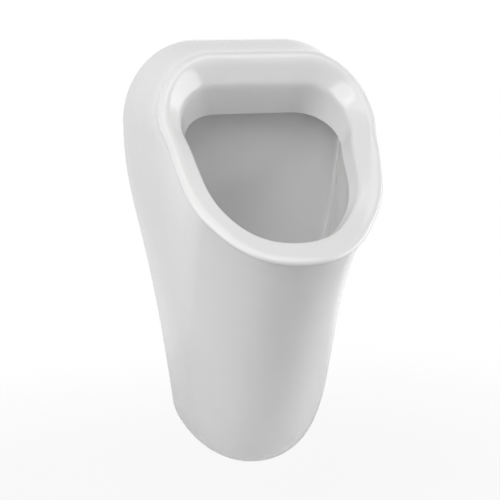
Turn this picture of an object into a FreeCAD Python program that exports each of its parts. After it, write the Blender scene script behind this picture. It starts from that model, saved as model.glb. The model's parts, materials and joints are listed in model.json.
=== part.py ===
import FreeCAD, Part
import math
import os

# Wall hung urinal: a glazed ceramic shell with a hood, a rolled rim and a deep bowl, hung on two
# hidden steel brackets, with a rear water inlet and a hidden bottle trap below the bowl.
#
# Frame, in millimetres: +Z up, +X to the right as seen from the front, the wall at Y = 0 and the
# object in front of it at negative Y. The origin is midway between the two wall fixing holes.
# "Depth" is the distance out from the wall, "drop" the distance down from the top of the ceramic.

# ---- driving dimensions of the ceramic ----------------------------------------------------------
WIDTH = 350.0              # widest, at the wall
HEIGHT = 642.0
DEPTH = 350.0              # wall to the front of the lip
FIXING_DROP = 140.0        # the two fixing holes below the top
WALL = 11.0                # ceramic thickness

# outline on the wall
TOP_FLAT = 67.0            # half length of the straight top edge
SHOULDER_DROP = 118.0      # where the rounded top corner meets the side
FOOT_HALF_WIDTH = 109.0    # where the side meets the rounded foot
FOOT_HEIGHT = 87.0
FOOT_LEAN = 0.12           # sideways per unit down, at the foot
BODY_START = 31.0          # how far the top leaves the wall squarely
BODY_BULGE = 241.0         # the same at the foot: the reach of its round underside
BODY_DRAFT = 0.052         # narrowing of the body, per 100 mm out from the wall

# rolled rim: the neck is the line where the rim meets the body, the mouth its inner edge
NECK_FLAT = 67.0
NECK_TOP_DEPTH = 109.5
NECK_TOP_DROP = 12.0
NECK_SIDE_INSET = 27.0
NECK_SIDE_DEPTH = 178.0
NECK_SIDE_DROP = 115.0
NECK_FRONT_INSET = 63.0
NECK_FRONT_SETBACK = 67.0
NECK_FRONT_DROP = 214.0
NECK_LIP_DROP = 259.0
RIM_OVERHANG = 7.0         # how far the rim stands out past the neck, none at the hood
RIM_HEIGHT_HOOD = 15.0     # how far the rim stands proud of the neck-to-mouth line
RIM_HEIGHT_LIP = 12.0
RIM_CREST_HOOD = 0.44      # where the rim's face turns into the mouth, from neck to mouth
RIM_CREST_LIP = 0.66
MOUTH_FLAT = 57.0
MOUTH_TOP_DEPTH = 85.0
MOUTH_TOP_DROP = 100.0
MOUTH_SIDE_INSET = 66.0
MOUTH_SIDE_DEPTH = 153.5
MOUTH_SIDE_DROP = 143.0
MOUTH_FRONT_INSET = 93.0
MOUTH_FRONT_SETBACK = 90.0
MOUTH_FRONT_DROP = 212.0
MOUTH_LIP_SETBACK = 46.0
MOUTH_LIP_DROP = 244.0

# how the loops run and how the body flows between them
SIDE_HANDLE_TOP = 0.29     # straightness of the side below the shoulder and above the foot
SIDE_HANDLE_FOOT = 0.71
RIM_SLOPE = 1.07           # forward per unit down, along the front part of the rim
NECK_TURN = 0.92           # inward per unit down, where the neck turns to the lip
MOUTH_TURN = 0.83
NECK_RUN_TOP = 42.0        # how far the body keeps its way before the neck
NECK_RUN_LIP = 281.0
LIP_RUN_BACK = 0.49        # way back and down from the lip
LIP_RUN_DOWN = 0.67
NECK_NARROWING = 0.98
RIM_OVERHANG_FADE = 0.35   # share of the half loop over which the overhang grows
HOOD_HOLLOW = 10.0         # the hollow of the hood reaches this far past the mouth's upper edge
HEAD_IN = 20.0             # sizes of the cutting bodies in front of the mouth
HEAD_OUT = 30.0

# bowl
HOOD_CEILING_DROP = 27.0
BOWL_BACK_DEPTH = 45.0
FLOOR_HEIGHT = 236.0       # bowl floor above the lowest point
DRAIN_DEPTH = 150.0        # drain axis out from the wall
DRAIN_SEAT_R = 36.0        # flat round seat in the bowl floor
DRAIN_HOLE_R = 24.5
DRAIN_BOSS_R = 44.0
DRAIN_BOSS = 14.0          # ceramic thickness under the drain seat

# back of the ceramic
PANEL = 12.0               # thickness of the closed upper back panel
PANEL_BOTTOM_DROP = 330.0
CAVITY_TOP_DROP = 32.0
FRONT_CAVITY_DROP = 310.0  # above this only the space behind the bowl is hollow
LIP_BACKING = 15.0         # ceramic behind the rolled rim

# fixing brackets
BRACKET_SPREAD = 170.0
BRACKET_WIDTH = 44.0
BRACKET_SHEET = 3.0
BRACKET_TAIL = 38.0        # plate below the hole
BRACKET_SHELF = 14.0       # plate above the hole, up to the shelf
BRACKET_HOOK = 16.0        # upstand behind the ceramic panel
BRACKET_HOLE_R = 4.5
SLOT_SIDE_GAP = 3.0
SLOT_BOTTOM_GAP = 5.0
PAD = 2.0                  # plastic pad between shelf and ceramic
HOOK_GAP = 4.0

# water inlet
INLET_DROP = 60.0
INLET_BOSS_R = 24.0
INLET_BOSS_BACK_DEPTH = 32.0
INLET_BOSS_FRONT_DEPTH = 47.0
INLET_ACCESS_R = 26.0
INLET_HOLE_GAP = 0.8
SPUD_R = 12.0
SPUD_BORE_R = 9.0
SPUD_BACK_DEPTH = 4.0
SPUD_NOSE = 11.0           # past the bowl side of the boss
INLET_WASHER = 3.0
INLET_WASHER_R = 19.0
INLET_NUT = 8.0
INLET_NUT_FLATS = 35.0
NOZZLE_SEAL = 2.0
NOZZLE_FLANGE_R = 19.0
NOZZLE_FLANGE = 2.5
NOZZLE_R = 15.0
NOZZLE_LENGTH = 17.0
NOZZLE_CAP = 2.5
NOZZLE_SLOT = 4.0

# drain fitting
SEAL = 2.0
FLANGE_R = 34.0
FLANGE = 4.0
FLANGE_RECESS_R = 29.0
FLANGE_RECESS = 2.2
FLANGE_BORE_R = 19.0
TAIL_R = 22.0
TAIL_LENGTH = 40.0         # below the flange
LOWER_SEAL = 3.0
LOWER_SEAL_R = 36.0
BACKNUT = 8.0
BACKNUT_FLATS = 62.0
THREAD_GAP = 0.1

# insert that lifts out of the drain, and the strainer on it
LIFT_GAP = 0.3             # under a piece that lifts out
INSERT_COLLAR = 1.6
INSERT_COLLAR_GAP = 1.0
INSERT_TUBE_R = 14.5
INSERT_TUBE_WALL = 2.0
INSERT_HUB_DROP = 8.0
INSERT_HUB = 12.0
INSERT_HUB_GAP = 0.6
INSERT_REACH = 100.0       # tube length below the collar
RING_HEIGHT = 4.0
RING_DEPTH = 2.4
RING_BORE_GAP = 0.05
STRAINER_R = 31.0
STRAINER_SHEET = 2.0
STRAINER_CROWN = 6.0
STRAINER_LEGS = 4          # they reach down into the tube of the insert
STRAINER_LEG_REACH = 8.0
STRAINER_LEG_WALL = 1.5
STRAINER_LEG_SPACE = 7.0   # between two legs
STRAINER_HOLE_R = 2.4
STRAINER_RINGS = ((0.0, 1), (7.5, 6), (18.5, 12), (25.0, 16))   # ring radius, holes

# trap
TRAP_R = 33.0
TRAP_WALL = 3.0
TRAP_NECK_R = 27.0
TRAP_NECK = 10.0
TRAP_TOP_DROP = 50.0       # below the bowl floor
TRAP_HEIGHT = 58.0
CUP_R = 36.0
CUP_BELOW = 8.0            # how far the cup reaches below the trap
CUP_OVERLAP = 9.0
CUP_SEAL = 2.0
UNION_GAP = 0.2
UNION_WALL = 4.0
UNION_SKIRT = 9.0
UNION_LIP = 3.0
UNION_SEAL = 3.0
GRIP_RIBS = 12
GRIP_RIB_R = 1.5
LEG_DEPTH = 90.0           # rising leg behind the bottle
LEG_R = 24.0
LEG_TOP_DROP = 27.0
DUCT_R = 18.0
DUCT_ABOVE_CUP = 4.0       # between the duct and the cup
LEG_FOOT = 2.0             # how far the leg reaches below the duct

# waste outlet
OUTLET_DROP = 52.0         # pipe axis below the bowl floor
OUTLET_R = 25.0
OUTLET_WALL = 2.5
OUTLET_PIPE = 54.0
OUTLET_PIPE_FREE = 38.0    # full width from the wall, before the narrower end in the nut
OUTLET_END_R = 24.0
SPIGOT_R = 22.0
SPIGOT_IN_PIPE = 10.0
OUTLET_NUT = 22.0
OUTLET_NUT_WALL = 5.0
OUTLET_NUT_LIP = 3.0
OUTLET_SEAL = 6.0

# ---- small helpers --------------------------------------------------------------------------------
X = FreeCAD.Vector(1, 0, 0)
Y = FreeCAD.Vector(0, 1, 0)
Z = FreeCAD.Vector(0, 0, 1)
PATCHES = 13               # faces round each closed skin of the ceramic
STATIONS = (3, 7, 8, 8)    # steps along the flat, the corner, the side and the bottom of a half loop
QUARTER = 0.39             # handle length of a quarter round, as a share of its chord
THIRD = 1.0 / 3.0
HALF_WIDTH = WIDTH / 2
HALF_STEPS = sum(STATIONS)
LIP_DEPTH = DEPTH - RIM_OVERHANG
FLOOR_DROP = HEIGHT - FLOOR_HEIGHT
FLOOR_Z = FIXING_DROP - FLOOR_DROP


def spot(x, depth, drop):
    """A point given by its distance to the right, out from the wall and down from the top."""
    return FreeCAD.Vector(x, -depth, FIXING_DROP - drop)


def unit(v):
    return v * (1.0 / v.Length)


def mix(a, b, t):
    return a * (1.0 - t) + b * t


def span(p, q, p_dir, q_dir, handles, count):
    """Points along a cubic from p towards q, without q."""
    chord = (q - p).Length
    a = p + unit(p_dir) * chord * handles[0]
    b = q - unit(q_dir) * chord * handles[1]
    out = []
    for i in range(count):
        t = i / count
        s = 1.0 - t
        out.append(p * s ** 3 + a * (3 * s * s * t) + b * (3 * s * t * t) + q * t ** 3)
    return out


def loop(knots, side_dir, front_dir, side_handles=(THIRD, THIRD)):
    """A closed loop, the same on the left, from five knots: top middle, end of the flat,
    start of the side, end of the side and bottom middle."""
    dirs = [X, X, side_dir, front_dir, X * -1]
    handles = [(THIRD, THIRD), (QUARTER, QUARTER), side_handles, (QUARTER, QUARTER)]
    half = []
    for i in range(4):
        half += span(knots[i], knots[i + 1], dirs[i], dirs[i + 1], handles[i], STATIONS[i])
    half.append(knots[4])
    mirrored = [FreeCAD.Vector(-p.x, p.y, p.z) for p in half[-2:0:-1]]
    return half + mirrored


def share(i):
    """How far station i is round its half loop: 0 on the flat top, 1 at the bottom middle, and level
    at both, so that what grows with it makes no ridge down the middle."""
    h = min(i, 2 * HALF_STEPS - i) / HALF_STEPS
    flat = STATIONS[0] / HALF_STEPS
    along = max(0.0, (h - flat) / (1.0 - flat))
    return 0.5 - 0.5 * math.cos(math.pi * along)


def circle_loop(centre, radius, right, away):
    """A round loop with as many stations; it starts on the side of away and goes to the right."""
    count = 2 * HALF_STEPS
    turn = [2 * math.pi * i / count for i in range(count)]
    return [centre + away * (radius * math.cos(a)) + right * (radius * math.sin(a)) for a in turn]


def skin(rows, degree=3):
    """Patches through closed loops: the first and last row lie on them, those between steer them."""
    count = len(rows[0])
    steps = [i / count for i in range(count + 1)]
    nets = []
    for row in rows:
        curve = Part.BSplineCurve()
        curve.interpolate(Points=row, PeriodicFlag=True, Parameters=steps)
        nets.append(curve.getPoles())
    poles = [[net[i] for net in nets] for i in range(len(nets[0]))]
    spans = len(rows) - degree
    v_knots = [i / spans for i in range(spans + 1)]
    v_mults = [degree + 1] + [1] * (spans - 1) + [degree + 1]
    surface = Part.BSplineSurface()
    surface.buildFromPolesMultsKnots(
        poles, curve.getMultiplicities(), v_mults, curve.getKnots(), v_knots, True, False, 3, degree)
    patches = []
    for i in range(PATCHES):
        patch = surface.copy()
        patch.segment(i / PATCHES, (i + 1) / PATCHES, 0, 1)
        patches.append(patch.toShape())
    return patches


def disc(row):
    """The flat face inside a loop that lies in one plane."""
    count = len(row)
    edges = []
    for i in range(PATCHES):
        curve = Part.BSplineCurve()
        curve.interpolate(Points=row, PeriodicFlag=True, Parameters=[j / count for j in range(count + 1)])
        curve.segment(i / PATCHES, (i + 1) / PATCHES)
        edges.append(curve.toShape())
    return [Part.Face(Part.Wire(edges))]


def closed(groups):
    """A solid from groups of faces that share their edges."""
    shell = Part.Shell([face for group in groups for face in group])
    shell.sewShape()
    solid = Part.Solid(Part.Shell(shell.Faces))
    if solid.Volume < 0:
        solid.reverse()
    return solid


def offset_rows(rows, amount):
    """The rows of a ceramic surface moved along the normals of their net, into the ceramic."""
    count = len(rows[0])
    moved = []
    for j, row in enumerate(rows):
        before = rows[max(j - 1, 0)]
        after = rows[min(j + 1, len(rows) - 1)]
        new = []
        for i, p in enumerate(row):
            around = row[(i + 1) % count] - row[i - 1]
            along = after[i] - before[i]
            new.append(p + unit(around.cross(along)) * amount)
        moved.append(new)
    return moved


def tube(outer, inner, base, direction, length):
    ring = Part.makeCylinder(outer, length, base, direction)
    return ring.cut(Part.makeCylinder(inner, length, base, direction))


def hexagon(flats, base, direction, length, twist=0.0):
    side = unit(direction.cross(X if abs(direction.x) < 0.5 else Z))
    other = direction.cross(side)
    r = flats / math.sqrt(3)
    turn = [math.radians(twist + 60 * i) for i in range(7)]
    points = [base + side * (r * math.cos(a)) + other * (r * math.sin(a)) for a in turn]
    return Part.Face(Part.makePolygon(points)).extrude(direction * length)


# ---- ceramic --------------------------------------------------------------------------------------
# Every loop starts at the top middle and runs to the right, so the same station of two loops lies on
# one line over the surface.
wall_loop = loop(
    [spot(0, 0, 0),
     spot(TOP_FLAT, 0, 0),
     spot(HALF_WIDTH, 0, SHOULDER_DROP),
     spot(FOOT_HALF_WIDTH, 0, HEIGHT - FOOT_HEIGHT),
     spot(0, 0, HEIGHT)],
    Z * -1, FreeCAD.Vector(-FOOT_LEAN, 0, -1), (SIDE_HANDLE_TOP, SIDE_HANDLE_FOOT))

neck_knots = [
    spot(0, NECK_TOP_DEPTH, NECK_TOP_DROP),
    spot(NECK_FLAT, NECK_TOP_DEPTH, NECK_TOP_DROP),
    spot(HALF_WIDTH - NECK_SIDE_INSET, NECK_SIDE_DEPTH, NECK_SIDE_DROP),
    spot(HALF_WIDTH - NECK_FRONT_INSET, LIP_DEPTH - NECK_FRONT_SETBACK, NECK_FRONT_DROP),
    spot(0, LIP_DEPTH, NECK_LIP_DROP)]
neck_loop = loop(neck_knots, neck_knots[3] - neck_knots[2], FreeCAD.Vector(-NECK_TURN, -RIM_SLOPE, -1))

mouth_knots = [
    spot(0, MOUTH_TOP_DEPTH, MOUTH_TOP_DROP),
    spot(MOUTH_FLAT, MOUTH_TOP_DEPTH, MOUTH_TOP_DROP),
    spot(HALF_WIDTH - MOUTH_SIDE_INSET, MOUTH_SIDE_DEPTH, MOUTH_SIDE_DROP),
    spot(HALF_WIDTH - MOUTH_FRONT_INSET, LIP_DEPTH - MOUTH_FRONT_SETBACK, MOUTH_FRONT_DROP),
    spot(0, LIP_DEPTH - MOUTH_LIP_SETBACK, MOUTH_LIP_DROP)]
mouth_loop = loop(mouth_knots, mouth_knots[3] - mouth_knots[2], FreeCAD.Vector(-MOUTH_TURN, -RIM_SLOPE, -1))

COUNT = len(wall_loop)


def body_rows():
    """Wall outline, the way it leaves the wall, the way it comes up to the neck, the neck."""
    leaving = []
    arriving = []
    for i in range(COUNT):
        s = share(i)
        reach = BODY_START * (1 - s) + BODY_BULGE * s
        p = wall_loop[i]
        leaving.append(FreeCAD.Vector(p.x * (1 - BODY_DRAFT * reach / 100), p.y - reach, p.z))
        run = unit(mix(Y, FreeCAD.Vector(0, LIP_RUN_BACK, -LIP_RUN_DOWN), s))
        q = neck_loop[i] + run * (NECK_RUN_TOP * (1 - s) + NECK_RUN_LIP * s)
        arriving.append(FreeCAD.Vector(q.x * NECK_NARROWING, q.y, q.z))
    return [wall_loop, leaving, arriving, neck_loop]


def rim_frame(i):
    """Across the rim from mouth to neck, and out of its face, at station i."""
    around = unit(neck_loop[(i + 1) % COUNT] - neck_loop[i - 1])
    across = neck_loop[i] - mouth_loop[i]
    across = unit(across - around * across.dot(around))
    proud = around.cross(across)
    if proud.dot(Z - Y) < 0:
        proud = proud * -1
    return across, proud


def rim_row(along, beyond, overhang, height):
    """A loop on the rim: along goes from the neck to the crest of the rim, beyond from there inwards."""
    row = []
    for i in range(COUNT):
        s = share(i)
        across, proud = rim_frame(i)
        full = RIM_HEIGHT_HOOD * (1 - s) + RIM_HEIGHT_LIP * s
        hang = RIM_OVERHANG * min(1.0, s / RIM_OVERHANG_FADE)
        crest = RIM_CREST_HOOD * (1 - s) + RIM_CREST_LIP * s
        base = mix(neck_loop[i], mouth_loop[i], crest * along + (1 - crest) * beyond)
        row.append(base + across * (overhang * hang) + proud * (height * full))
    return row


def rim_rows():
    return [
        neck_loop,
        rim_row(0.0, 0.0, 0.9, 0.08),
        rim_row(0.0, 0.0, 1.15, 0.68),
        rim_row(0.22, 0.0, 0.35, 1.00),
        rim_row(0.62, 0.0, 0.0, 1.06),
        rim_row(0.92, 0.0, 0.0, 1.16),
        rim_row(1.0, 0.12, 0.0, 1.13),
        rim_row(1.0, 0.42, 0.0, 0.68),
        mouth_loop]


def mouth_row(outwards, back):
    """A loop behind the mouth, moved out along the rim's underside and back into the ceramic."""
    row = []
    for i in range(COUNT):
        across, proud = rim_frame(i)
        row.append(mouth_loop[i] + across * outwards - proud * back)
    return row


def bowl_loop(flat, back, side, front, lip):
    """A loop on the inside of the bowl. Side and front are given from the widest width, front and lip
    back from the lip, and each height as a share of the way from the mouth down to the floor."""
    def drop(mouth, sink):
        return mouth + sink * (FLOOR_DROP - mouth)
    knots = [
        spot(0, back[0], drop(MOUTH_TOP_DROP, back[1])),
        spot(flat, back[0], drop(MOUTH_TOP_DROP, back[1])),
        spot(HALF_WIDTH - side[0], side[1], drop(MOUTH_SIDE_DROP, side[2])),
        spot(HALF_WIDTH - front[0], LIP_DEPTH - front[1], drop(MOUTH_FRONT_DROP, front[2])),
        spot(0, LIP_DEPTH - lip[0], drop(MOUTH_LIP_DROP, lip[1]))]
    return loop(knots, knots[3] - knots[2], unit(knots[4] - knots[2]))


def drain_loop(radius, height):
    return circle_loop(FreeCAD.Vector(0, -DRAIN_DEPTH, FLOOR_Z + height), radius, X, Y)


def hollow_rows():
    """The bowl below and behind the mouth, from the hood down to the flat drain seat."""
    ceiling = (HOOD_CEILING_DROP - MOUTH_TOP_DROP) / (FLOOR_DROP - MOUTH_TOP_DROP)
    hood = MOUTH_TOP_DEPTH + HOOD_HOLLOW
    back = BOWL_BACK_DEPTH
    return [
        bowl_loop(60, (hood, ceiling + 0.023), (51, 120, -0.133), (71, 118, 0.10), (43, 0.19)),
        bowl_loop(70, (back + 15, ceiling), (39, 80, -0.16), (69, 153, 0.26), (53, 0.38)),
        bowl_loop(100, (back, ceiling + 0.075), (33, 60, -0.01), (67, 173, 0.40), (75, 0.59)),
        bowl_loop(108, (back, 0.20), (39, 60, 0.27), (77, 178, 0.56), (93, 0.765)),
        bowl_loop(98, (back + 2, 0.59), (52, 64, 0.60), (93, 183, 0.71), (108, 0.89)),
        bowl_loop(66, (back + 21, 0.88), (87, 90, 0.88), (115, 163, 0.91), (131, 0.965)),
        drain_loop(DRAIN_SEAT_R + 8, 1.2),
        drain_loop(DRAIN_SEAT_R, 0.0)]


def head_disc(height, radius):
    """A round loop in front of the mouth, in a plane like the rim's."""
    middle = mix(mouth_loop[0], mouth_loop[HALF_STEPS], 0.5)
    proud = unit(Z - Y)
    return circle_loop(middle + proud * height, radius, X, unit(Z + Y))


def ceramic_skins():
    hollow = hollow_rows()
    seat = hollow[-1]
    outside = closed([
        disc(wall_loop),
        skin(body_rows()),
        skin(rim_rows()),
        skin([mouth_loop, mouth_row(4, 9), mouth_row(13, 20)] + hollow),
        disc(seat)])

    # the rear cavity: the body made smaller by the wall, less the bowl made larger by the wall
    inner = offset_rows(body_rows(), WALL)
    inner[0] = [FreeCAD.Vector(p.x, WALL, p.z) for p in inner[0]]
    front = head_disc(HEAD_IN, HEAD_IN)
    cavity = closed([disc(inner[0]), skin(inner), skin([inner[-1], front], 1), disc(front)])
    jacket = offset_rows(hollow, WALL)
    brim = []
    cover = []
    for i in range(COUNT):
        across, proud = rim_frame(i)
        brim.append(neck_loop[i] + across * HEAD_OUT - proud * LIP_BACKING)
        cover.append(neck_loop[i] + across * HEAD_OUT + proud * HEAD_OUT)
    head = head_disc(3 * HEAD_OUT, HEAD_OUT)
    bowl = closed([
        disc(head), skin([head, cover], 1), skin([cover, brim], 1), skin([brim, jacket[0]], 1),
        skin(jacket), disc(jacket[-1])])
    return outside, cavity, bowl


def wide_box(x0, x1, depth0, depth1, drop0, drop1):
    """A box between two distances to the right, out from the wall and down from the top."""
    corner = spot(x0, depth1, drop1)
    return Part.makeBox(x1 - x0, depth1 - depth0, drop1 - drop0, corner)


def ceramic_body():
    outside, cavity, bowl = ceramic_skins()
    cavity = cavity.cut(bowl)
    solid_parts = [
        wide_box(-WIDTH, WIDTH, -2 * WALL, PANEL, -WIDTH, PANEL_BOTTOM_DROP),
        wide_box(-WIDTH, WIDTH, -2 * WALL, DEPTH, -WIDTH, CAVITY_TOP_DROP),
        wide_box(-WIDTH, WIDTH, BOWL_BACK_DEPTH - WALL + 1, 2 * DEPTH, -WIDTH, FRONT_CAVITY_DROP),
        Part.makeCylinder(DRAIN_BOSS_R, DRAIN_BOSS + 1, drain(-DRAIN_BOSS))]
    for part in solid_parts:
        cavity = cavity.cut(part)
    cavity = max(cavity.Solids, key=lambda s: s.Volume)
    body = outside.cut(cavity)
    inlet_boss = INLET_BOSS_FRONT_DEPTH - INLET_BOSS_BACK_DEPTH
    body = body.fuse(Part.makeCylinder(INLET_BOSS_R, inlet_boss, inlet(INLET_BOSS_FRONT_DEPTH), Y))
    openings = [
        Part.makeCylinder(DRAIN_HOLE_R, 3 * DRAIN_BOSS, drain(-2 * DRAIN_BOSS)),
        Part.makeCylinder(INLET_ACCESS_R, PANEL + 2, inlet(PANEL + 1), Y),
        Part.makeCylinder(SPUD_R + INLET_HOLE_GAP, 2 * BOWL_BACK_DEPTH, inlet(2 * BOWL_BACK_DEPTH), Y),
        Part.makeCylinder(INLET_BOSS_R, WALL, inlet(INLET_BOSS_FRONT_DEPTH + WALL), Y)]
    for side in (-1, 1):
        x = side * BRACKET_SPREAD / 2
        reach = BRACKET_WIDTH / 2 + SLOT_SIDE_GAP
        bottom = FIXING_DROP + BRACKET_TAIL + SLOT_BOTTOM_GAP
        openings.append(wide_box(x - reach, x + reach, -1, PANEL + 1, FIXING_DROP - SLOT_TOP, bottom))
    for opening in openings:
        body = body.cut(opening)
    return max(body.removeSplitter().Solids, key=lambda s: s.Volume)


# ---- fixing brackets --------------------------------------------------------------------------------
SLOT_TOP = BRACKET_SHELF + BRACKET_SHEET + PAD
HOOK_DEPTH = PANEL + HOOK_GAP


def bracket(side):
    """A steel plate screwed to the wall, with a shelf and an upstand that the ceramic hooks over."""
    x0 = side * BRACKET_SPREAD / 2 - BRACKET_WIDTH / 2
    x1 = x0 + BRACKET_WIDTH
    shelf_top = FIXING_DROP - BRACKET_SHELF - BRACKET_SHEET
    plate = wide_box(x0, x1, 0, BRACKET_SHEET, shelf_top, FIXING_DROP + BRACKET_TAIL)
    shelf = wide_box(x0, x1, 0, HOOK_DEPTH + BRACKET_SHEET, shelf_top, FIXING_DROP - BRACKET_SHELF)
    hook = wide_box(x0, x1, HOOK_DEPTH, HOOK_DEPTH + BRACKET_SHEET, shelf_top - BRACKET_HOOK, shelf_top)
    middle = FreeCAD.Vector(side * BRACKET_SPREAD / 2, 1, 0)
    hole = Part.makeCylinder(BRACKET_HOLE_R, 2 * BRACKET_SHEET, middle, Y * -1)
    return plate.fuse([shelf, hook]).removeSplitter().cut(hole)


def bracket_pads():
    pads = []
    for side in (-1, 1):
        x0 = side * BRACKET_SPREAD / 2 - BRACKET_WIDTH / 2
        top = FIXING_DROP - SLOT_TOP
        pads.append(wide_box(x0, x0 + BRACKET_WIDTH, 0, PANEL, top, top + PAD))
    return Part.makeCompound(pads)


# ---- water inlet ------------------------------------------------------------------------------------
def inlet(depth):
    return spot(0, depth, INLET_DROP)


def inlet_spud():
    length = INLET_BOSS_FRONT_DEPTH + SPUD_NOSE - SPUD_BACK_DEPTH
    return tube(SPUD_R, SPUD_BORE_R, inlet(SPUD_BACK_DEPTH + length), Y, length)


def inlet_washer():
    return tube(INLET_WASHER_R, SPUD_R + THREAD_GAP, inlet(INLET_BOSS_BACK_DEPTH), Y, INLET_WASHER)


def inlet_nut():
    start = inlet(INLET_BOSS_BACK_DEPTH - INLET_WASHER)
    nut = hexagon(INLET_NUT_FLATS, start, Y, INLET_NUT)
    return nut.cut(Part.makeCylinder(SPUD_R + THREAD_GAP, INLET_NUT, start, Y))


def nozzle_seal():
    front = INLET_BOSS_FRONT_DEPTH + NOZZLE_SEAL
    return tube(NOZZLE_FLANGE_R, SPUD_R + THREAD_GAP, inlet(front), Y, NOZZLE_SEAL)


def spreader_nozzle():
    """A flanged cap on the spud; water leaves through slots round its lower half."""
    back = INLET_BOSS_FRONT_DEPTH + NOZZLE_SEAL
    front = back + NOZZLE_LENGTH
    cap = Part.makeCylinder(NOZZLE_R, NOZZLE_LENGTH, inlet(front), Y)
    cap = cap.makeFillet(NOZZLE_CAP, [e for e in cap.Edges if abs(e.CenterOfMass.y + front) < 0.01])
    flange = Part.makeCylinder(NOZZLE_FLANGE_R, NOZZLE_FLANGE, inlet(back + NOZZLE_FLANGE), Y)
    room = NOZZLE_LENGTH - NOZZLE_CAP
    hollow = Part.makeCylinder(SPUD_R + THREAD_GAP, room, inlet(back + room), Y)
    nozzle = cap.fuse(flange).removeSplitter().cut(hollow)
    slot_back = INLET_BOSS_FRONT_DEPTH + SPUD_NOSE
    for angle in (-60, -30, 0, 30, 60):
        slot = wide_box(-NOZZLE_SLOT / 2, NOZZLE_SLOT / 2, slot_back, back + room, 0, NOZZLE_R + 1)
        slot.translate(inlet(0) - spot(0, 0, 0))
        slot.rotate(inlet(0), Y, angle)
        nozzle = nozzle.cut(slot)
    return nozzle


# ---- drain ------------------------------------------------------------------------------------------
def drain(height):
    """A point on the drain axis, at a height above the bowl floor."""
    return FreeCAD.Vector(0, -DRAIN_DEPTH, FLOOR_Z + height)


FLANGE_TOP = SEAL + FLANGE
RECESS_FLOOR = FLANGE_TOP - FLANGE_RECESS
COLLAR_BOTTOM = RECESS_FLOOR + LIFT_GAP
COLLAR_TOP = COLLAR_BOTTOM + INSERT_COLLAR
TAIL_END = SEAL - TAIL_LENGTH
BACKNUT_TOP = -DRAIN_BOSS - LOWER_SEAL
HUB_TOP = COLLAR_BOTTOM - INSERT_HUB_DROP
RING_TOP = HUB_TOP - (INSERT_HUB - RING_HEIGHT) / 2
RING_INNER_R = FLANGE_BORE_R - RING_BORE_GAP - RING_DEPTH


def upper_seal():
    return tube(FLANGE_R, TAIL_R + THREAD_GAP, drain(0), Z, SEAL)


def drain_flange():
    flange = Part.makeCylinder(FLANGE_R, FLANGE, drain(SEAL))
    tail = Part.makeCylinder(TAIL_R, TAIL_LENGTH, drain(TAIL_END))
    body = flange.fuse(tail).removeSplitter()
    body = body.cut(Part.makeCylinder(FLANGE_RECESS_R, FLANGE, drain(RECESS_FLOOR)))
    return body.cut(Part.makeCylinder(FLANGE_BORE_R, 2 * TAIL_LENGTH, drain(-TAIL_LENGTH)))


def lower_seal():
    return tube(LOWER_SEAL_R, TAIL_R + THREAD_GAP, drain(BACKNUT_TOP), Z, LOWER_SEAL)


def drain_backnut():
    nut = hexagon(BACKNUT_FLATS, drain(BACKNUT_TOP - BACKNUT), Z, BACKNUT)
    return nut.cut(Part.makeCylinder(TAIL_R + THREAD_GAP, BACKNUT, drain(BACKNUT_TOP - BACKNUT)))


def dip_tube():
    """The insert that carries the water down below the water level of the trap."""
    collar_r = FLANGE_RECESS_R - INSERT_COLLAR_GAP
    collar = Part.makeCylinder(collar_r, INSERT_COLLAR, drain(COLLAR_BOTTOM))
    hub_r = FLANGE_BORE_R - INSERT_HUB_GAP
    hub = Part.makeCylinder(hub_r, INSERT_HUB, drain(HUB_TOP - INSERT_HUB))
    stem = Part.makeCylinder(INSERT_TUBE_R, INSERT_REACH, drain(COLLAR_BOTTOM - INSERT_REACH))
    body = collar.fuse([hub, stem]).removeSplitter()
    groove = tube(FLANGE_BORE_R, RING_INNER_R, drain(RING_TOP - RING_HEIGHT), Z, RING_HEIGHT)
    bore = INSERT_TUBE_R - INSERT_TUBE_WALL
    return body.cut(groove).cut(Part.makeCylinder(bore, 2 * INSERT_REACH, drain(-INSERT_REACH - 10)))


def dip_tube_ring():
    return tube(FLANGE_BORE_R - RING_BORE_GAP, RING_INNER_R, drain(RING_TOP - RING_HEIGHT), Z, RING_HEIGHT)


def outlet_strainer():
    """A shallow dome with rings of holes; its legs drop into the tube of the insert."""
    rim = FLANGE_TOP + LIFT_GAP
    dome_r = (STRAINER_R ** 2 + STRAINER_CROWN ** 2) / (2 * STRAINER_CROWN)
    middle = drain(rim + STRAINER_CROWN - dome_r)
    outer = Part.makeSphere(dome_r + STRAINER_SHEET, middle)
    inner = Part.makeSphere(dome_r, middle)
    reach = STRAINER_CROWN + STRAINER_SHEET + 1
    dome = outer.cut(inner).common(Part.makeCylinder(STRAINER_R, reach, drain(rim)))
    leg_r = INSERT_TUBE_R - INSERT_TUBE_WALL - LIFT_GAP
    leg_end = COLLAR_TOP - STRAINER_LEG_REACH
    legs = tube(leg_r, leg_r - STRAINER_LEG_WALL, drain(leg_end), Z, rim + reach - leg_end)
    for i in range(STRAINER_LEGS):
        space = Part.makeBox(STRAINER_R, STRAINER_LEG_SPACE, 2 * STRAINER_R,
                             drain(-STRAINER_R) - Y * (STRAINER_LEG_SPACE / 2))
        space.rotate(drain(0), Z, 360 * (i + 0.5) / STRAINER_LEGS)
        legs = legs.cut(space)
    strainer = dome.fuse(legs.common(outer)).removeSplitter()
    for ring_r, holes in STRAINER_RINGS:
        for i in range(holes):
            a = 2 * math.pi * i / holes
            at = drain(FLANGE_TOP) + X * (ring_r * math.cos(a)) + Y * (ring_r * math.sin(a))
            strainer = strainer.cut(Part.makeCylinder(STRAINER_HOLE_R, 2 * reach, at))
    return strainer


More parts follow.
